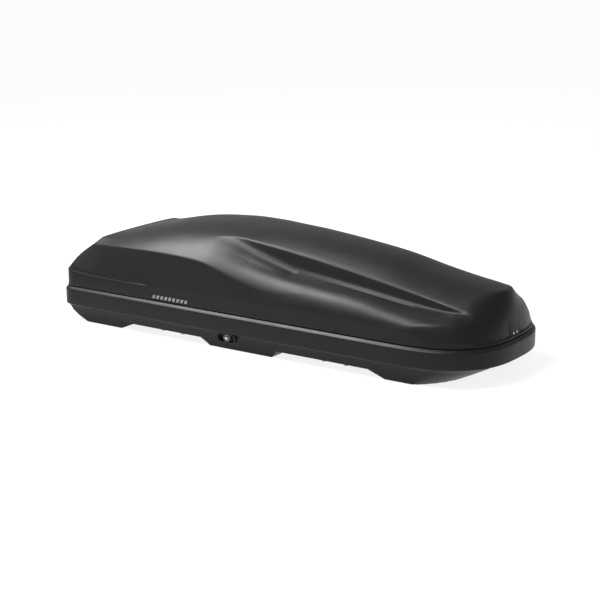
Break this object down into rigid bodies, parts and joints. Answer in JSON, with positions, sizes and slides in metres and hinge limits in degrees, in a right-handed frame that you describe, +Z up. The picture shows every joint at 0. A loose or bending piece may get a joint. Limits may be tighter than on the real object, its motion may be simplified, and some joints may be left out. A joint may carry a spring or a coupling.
{
  "type": "roof cargo box",
  "caption": "Low hard-shell roof cargo box with a side-opening lid, underside crossbar recesses, floor clamps and a keyed lock.",
  "frame": {"origin": "centre of the footprint, on the plane that the keels rest on", "axes": "+X towards the nose, +Y towards the hinge side, +Z up"},
  "size_m": [2, 0.7, 0.462],
  "materials": {
    "shell_plastic": "fine-textured black ABS sheet",
    "gasket_rubber": "soft black EPDM strip",
    "aluminium_strip": "mill-finish strip",
    "galvanised_steel": "zinc-plated sheet",
    "black_steel": "black powder coat",
    "bright_steel": "bright steel",
    "black_nylon": "moulded glass-filled nylon",
    "knob_grey": "moulded grey plastic",
    "chrome": "polished",
    "clamp_steel": "zinc-plated pressing",
    "knob_plastic": "moulded plastic",
    "strut_black": "gloss black enamel",
    "webbing": "woven polyester webbing"
  },
  "bodies": {
    "base": {"base_tray": "shell_plastic", "rim_gasket": "gasket_rubber", "floor_rail_left": "galvanised_steel", "floor_rail_right": "galvanised_steel", "strut_base_bracket_rear": "galvanised_steel", "strut_base_bracket_front": "galvanised_steel", "strap_anchors": "galvanised_steel", "hinge_base_leaf_rear": "black_steel", "hinge_base_leaf_middle": "black_steel", "hinge_base_leaf_front": "black_steel", "hinge_pin_rear": "bright_steel", "hinge_pin_middle": "bright_steel", "hinge_pin_front": "bright_steel", "hinge_base_rivets": "bright_steel", "nose_keeper": "black_nylon", "lock_housing": "black_nylon", "bar_guides": "black_nylon", "clamp_seat_rear_right": "black_nylon", "clamp_seat_rear_left": "black_nylon", "clamp_seat_front_right": "black_nylon", "clamp_seat_front_left": "black_nylon", "strap_buckle_rear": "black_nylon", "strap_buckle_front": "black_nylon", "load_strap_rear": "webbing", "load_strap_front": "webbing"},
    "lid": {"lid_shell": "shell_plastic", "lid_edge_rail_left": "aluminium_strip", "lid_edge_rail_right": "aluminium_strip", "hinge_lid_leaf_rear": "black_steel", "hinge_lid_leaf_middle": "black_steel", "hinge_lid_leaf_front": "black_steel", "striker_rear": "galvanised_steel", "striker_front": "galvanised_steel", "striker_rivets": "black_steel", "hinge_lid_rivets": "bright_steel", "nose_rivets": "bright_steel", "nose_locator_blade": "galvanised_steel", "nose_locator_foot": "galvanised_steel", "strut_lid_bracket_rear": "galvanised_steel", "strut_lid_bracket_front": "galvanised_steel"},
    "strut_cylinder_rear": {"strut_cylinder_rear": "strut_black"},
    "strut_rod_rear": {"strut_rod_rear": "bright_steel"},
    "strut_cylinder_front": {"strut_cylinder_front": "strut_black"},
    "strut_rod_front": {"strut_rod_front": "bright_steel"},
    "lock_knob": {"lock_knob": "knob_grey", "lock_pinion": "black_nylon"},
    "key_cylinder": {"key_cylinder": "chrome"},
    "lock_bar": {"lock_bar": "aluminium_strip"},
    "clamp_knob_rear_right": {"clamp_knob_rear_right": "knob_plastic"},
    "clamp_claw_rear_right": {"clamp_claw_rear_right": "clamp_steel"},
    "clamp_knob_rear_left": {"clamp_knob_rear_left": "knob_plastic"},
    "clamp_claw_rear_left": {"clamp_claw_rear_left": "clamp_steel"},
    "clamp_knob_front_right": {"clamp_knob_front_right": "knob_plastic"},
    "clamp_claw_front_right": {"clamp_claw_front_right": "clamp_steel"},
    "clamp_knob_front_left": {"clamp_knob_front_left": "knob_plastic"},
    "clamp_claw_front_left": {"clamp_claw_front_left": "clamp_steel"}
  },
  "joints": [
    {"name": "lid_hinge", "type": "hinge", "parent": "base", "child": "lid", "pos_m": [0, 0.345, 0.16], "axis": [-1, 0, 0], "range_deg": [0, 60]},
    {"name": "strut_rear_tilt", "type": "hinge", "parent": "base", "child": "strut_cylinder_rear", "pos_m": [-0.64, 0.27, 0.06], "axis": [-1, 0, 0], "range_deg": [0, 32]},
    {"name": "strut_rear_extend", "type": "slide", "parent": "strut_cylinder_rear", "child": "strut_rod_rear", "axis": [0, -0.2272, 0.9739], "range_m": [0, 0.08]},
    {"name": "strut_front_tilt", "type": "hinge", "parent": "base", "child": "strut_cylinder_front", "pos_m": [0.48, 0.27, 0.06], "axis": [-1, 0, 0], "range_deg": [0, 32]},
    {"name": "strut_front_extend", "type": "slide", "parent": "strut_cylinder_front", "child": "strut_rod_front", "axis": [0, -0.2272, 0.9739], "range_m": [0, 0.08]},
    {"name": "lock_turn", "type": "hinge", "parent": "base", "child": "lock_knob", "pos_m": [-0.128, -0.32, 0.051], "axis": [0, 1, 0], "range_deg": [0, 90]},
    {"name": "lock_bar_slide", "type": "slide", "parent": "base", "child": "lock_bar", "axis": [1, 0, 0], "range_m": [0, 0.0243]},
    {"name": "key_turn", "type": "hinge", "parent": "lock_knob", "child": "key_cylinder", "pos_m": [-0.128, -0.325, 0.051], "axis": [0, 1, 0], "range_deg": [0, 90]},
    {"name": "clamp_rear_right_knob_turn", "type": "hinge", "parent": "base", "child": "clamp_knob_rear_right", "pos_m": [-0.46, -0.23, 0.06], "axis": [0, 0, 1], "range_deg": [0, 901]},
    {"name": "clamp_rear_right_claw_travel", "type": "slide", "parent": "base", "child": "clamp_claw_rear_right", "axis": [0, 0, -1], "range_m": [0, 0.02]},
    {"name": "clamp_rear_left_knob_turn", "type": "hinge", "parent": "base", "child": "clamp_knob_rear_left", "pos_m": [-0.46, 0.23, 0.06], "axis": [0, 0, 1], "range_deg": [0, 901]},
    {"name": "clamp_rear_left_claw_travel", "type": "slide", "parent": "base", "child": "clamp_claw_rear_left", "axis": [0, 0, -1], "range_m": [0, 0.02]},
    {"name": "clamp_front_right_knob_turn", "type": "hinge", "parent": "base", "child": "clamp_knob_front_right", "pos_m": [0.335, -0.23, 0.06], "axis": [0, 0, 1], "range_deg": [0, 901]},
    {"name": "clamp_front_right_claw_travel", "type": "slide", "parent": "base", "child": "clamp_claw_front_right", "axis": [0, 0, -1], "range_m": [0, 0.02]},
    {"name": "clamp_front_left_knob_turn", "type": "hinge", "parent": "base", "child": "clamp_knob_front_left", "pos_m": [0.335, 0.23, 0.06], "axis": [0, 0, 1], "range_deg": [0, 901]},
    {"name": "clamp_front_left_claw_travel", "type": "slide", "parent": "base", "child": "clamp_claw_front_left", "axis": [0, 0, -1], "range_m": [0, 0.02]}
  ],
  "couplings": [
    {"joint": "strut_rear_tilt", "follows": "lid_hinge", "ratio": 0.5},
    {"joint": "strut_rear_extend", "follows": "lid_hinge", "m_per_rad": 0.075409},
    {"joint": "strut_front_tilt", "follows": "lid_hinge", "ratio": 0.5},
    {"joint": "strut_front_extend", "follows": "lid_hinge", "m_per_rad": 0.075409},
    {"joint": "lock_turn", "follows": "lock_bar_slide", "rad_per_m": 64.5},
    {"joint": "clamp_rear_right_knob_turn", "follows": "clamp_rear_right_claw_travel", "rad_per_m": 785.4},
    {"joint": "clamp_rear_left_knob_turn", "follows": "clamp_rear_left_claw_travel", "rad_per_m": 785.4},
    {"joint": "clamp_front_right_knob_turn", "follows": "clamp_front_right_claw_travel", "rad_per_m": 785.4},
    {"joint": "clamp_front_left_knob_turn", "follows": "clamp_front_left_claw_travel", "rad_per_m": 785.4}
  ]
}
